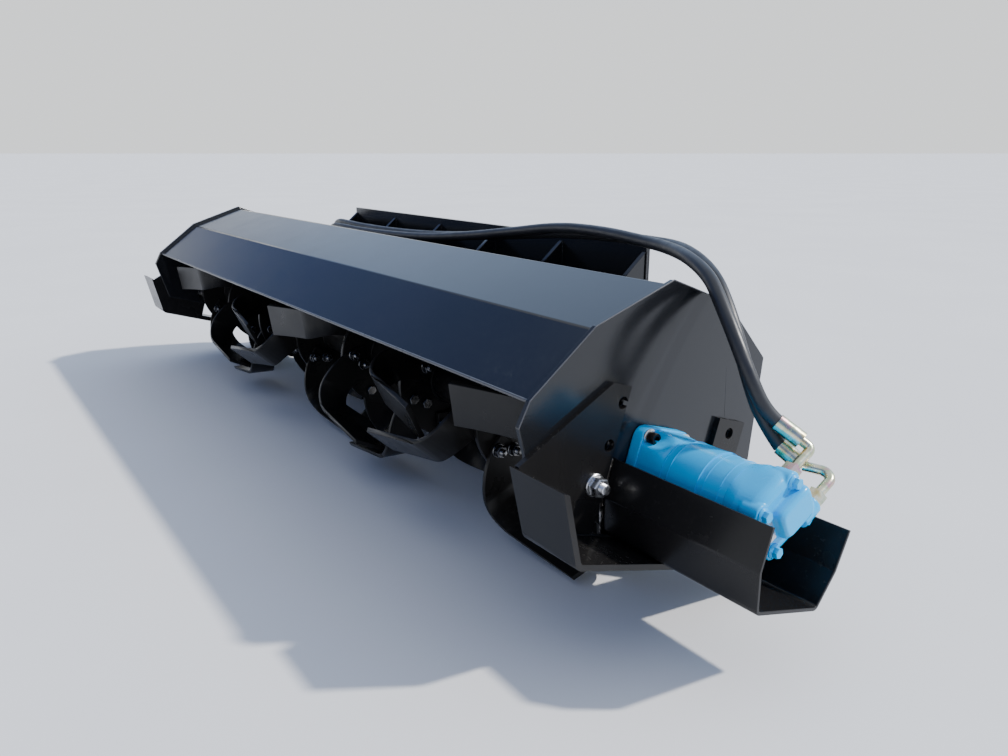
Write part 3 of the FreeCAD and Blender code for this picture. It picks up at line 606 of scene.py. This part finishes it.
# Hoses: route points from the rotor axis in level directions, along the rotor, towards the
# loader and up. The radius and the lengths are in metres.
FRONT_HOSE = [
    (1020, 70, 84), (1010, 55, 99), (989, 46, 143), (960, 50, 186), (923, 65, 222), (885, 85, 250),
    (820, 115, 267), (739, 158, 270), (674, 175, 272), (561, 190, 278), (431, 200, 275),
    (298, 201, 256), (143, 200, 235), (-43, 199.5, 215), (-257, 199, 206), (-430, 199, 204),
    (-520, 201, 206), (-602, 212, 201), (-660, 233, 174), (-696, 259, 127), (-710, 270, 62),
    (-709, 272, -12), (-692, 268, -83), (-659, 258, -140), (-612, 242, -177), (-555, 232, -192),
    (-499, 228, -193), (-445, 227, -192.5),
]
REAR_HOSE = [
    (1021, 81, 49), (996, 70.5, 83), (974, 70, 125), (946, 78, 172), (912, 91, 216),
    (874, 111, 246), (812, 143, 264), (740, 183, 269), (668, 205, 268), (555, 222, 267),
    (420, 226, 262), (265, 225, 246), (95, 222, 229), (-80, 220.5, 217), (-250, 220, 212),
    (-405, 220, 211), (-520, 222, 213), (-608, 234, 213), (-672, 253, 193), (-722, 275, 151),
    (-747, 286, 89), (-751, 291, 17), (-745, 291, -52), (-724, 287, -112), (-685, 283, -158),
    (-633, 278, -185), (-573, 271, -193), (-516, 268, -193), (-461, 267, -192.5),
]
HOSE_RADIUS = 0.0098


def hose(name, route):
    """A round hose along its route, between a port fitting and a coupler."""
    curve = bpy.data.curves.new(name, "CURVE")
    curve.dimensions = "3D"
    spline = curve.splines.new("NURBS")
    spline.points.add(len(route) - 1)
    for control, point in zip(spline.points, route):
        control.co = (*level(*point), 1)
    spline.order_u = 3
    spline.use_endpoint_u = True
    spline.resolution_u = 8
    curve.bevel_depth = HOSE_RADIUS
    curve.bevel_resolution = 6
    curve.use_fill_caps = True
    curve.materials.append(RUBBER)
    piece = placed(name.split("_")[1] + "_hose", curve)
    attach(piece, "frame")
    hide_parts(name)


hose("hose_front", FRONT_HOSE)
hose("hose_rear", REAR_HOSE)

# Pale floor
HALF_FLOOR = 400.0  # metres
FLOOR_TONES = [(0.3, (0.77, 0.77, 0.77)), (0.7, (0.81, 0.81, 0.81))]
floor_mesh = bpy.data.meshes.new("floor")
floor_mesh.from_pydata([(-HALF_FLOOR, -HALF_FLOOR, 0), (HALF_FLOOR, -HALF_FLOOR, 0),
                        (HALF_FLOOR, HALF_FLOOR, 0), (-HALF_FLOOR, HALF_FLOOR, 0)],
                       [], [(0, 1, 2, 3)])
floor = placed("floor", floor_mesh)
floor_shader = Shader("floor_pale")
floor_shader.set(Base_Color=floor_shader.ramp(floor_shader.noise(FLOOR_WAVES, 4.0), FLOOR_TONES),
                 Roughness=1.0, Specular_IOR_Level=0.0)
floor_mesh.materials.append(floor_shader.material)

# One sun, from behind the motor's end
SUN_AZIMUTH = math.radians(52)
SUN_HEIGHT = math.radians(41)
towards_sun = Vector((math.cos(SUN_AZIMUTH) * math.cos(SUN_HEIGHT),
                      math.sin(SUN_AZIMUTH) * math.cos(SUN_HEIGHT), math.sin(SUN_HEIGHT)))
sun_data = bpy.data.lights.new("key", "SUN")
sun_data.energy = 4.6
sun_data.angle = math.radians(2.5)
sun_data.color = (1.0, 0.97, 0.93)
sun = placed("key", sun_data)
sun.rotation_euler = towards_sun.to_track_quat("Z", "Y").to_euler()

# Soft sky: a pale band round the horizon, blue in front, bright behind and overhead
BLUE_SIDE, BRIGHT_SIDE = (0.17, 0.27, 0.60), (0.75, 1.0, 1.45)
HORIZON, OVERHEAD = (1.15, 1.18, 1.2), (0.85, 0.92, 1.05)
world = bpy.data.worlds.new("studio")
bpy.context.scene.world = world
world.use_nodes = True
tree = world.node_tree
direction = tree.nodes.new("ShaderNodeSeparateXYZ")
feed(tree, tree.nodes.new("ShaderNodeTexCoord").outputs["Generated"], direction.inputs["Vector"])


def sky_step(axis, low, high, before, after):
    """The sky's colour so far, turning into another one along an axis of the direction."""
    fade = tree.nodes.new("ShaderNodeMapRange")
    fade.interpolation_type = "SMOOTHSTEP"
    for name, content in (("From Min", low), ("From Max", high),
                          ("Value", direction.outputs[axis])):
        feed(tree, content, fade.inputs[name])
    return blended(tree, fade.outputs["Result"], before, after)


sky = sky_step("Y", 0.02, 0.30, BLUE_SIDE, BRIGHT_SIDE)
sky = sky_step("Z", 0.14, 0.36, HORIZON, sky)
sky = sky_step("Z", 0.62, 0.9, sky, OVERHEAD)
feed(tree, sky, tree.nodes["Background"].inputs["Color"])

bpy.context.view_layer.update()
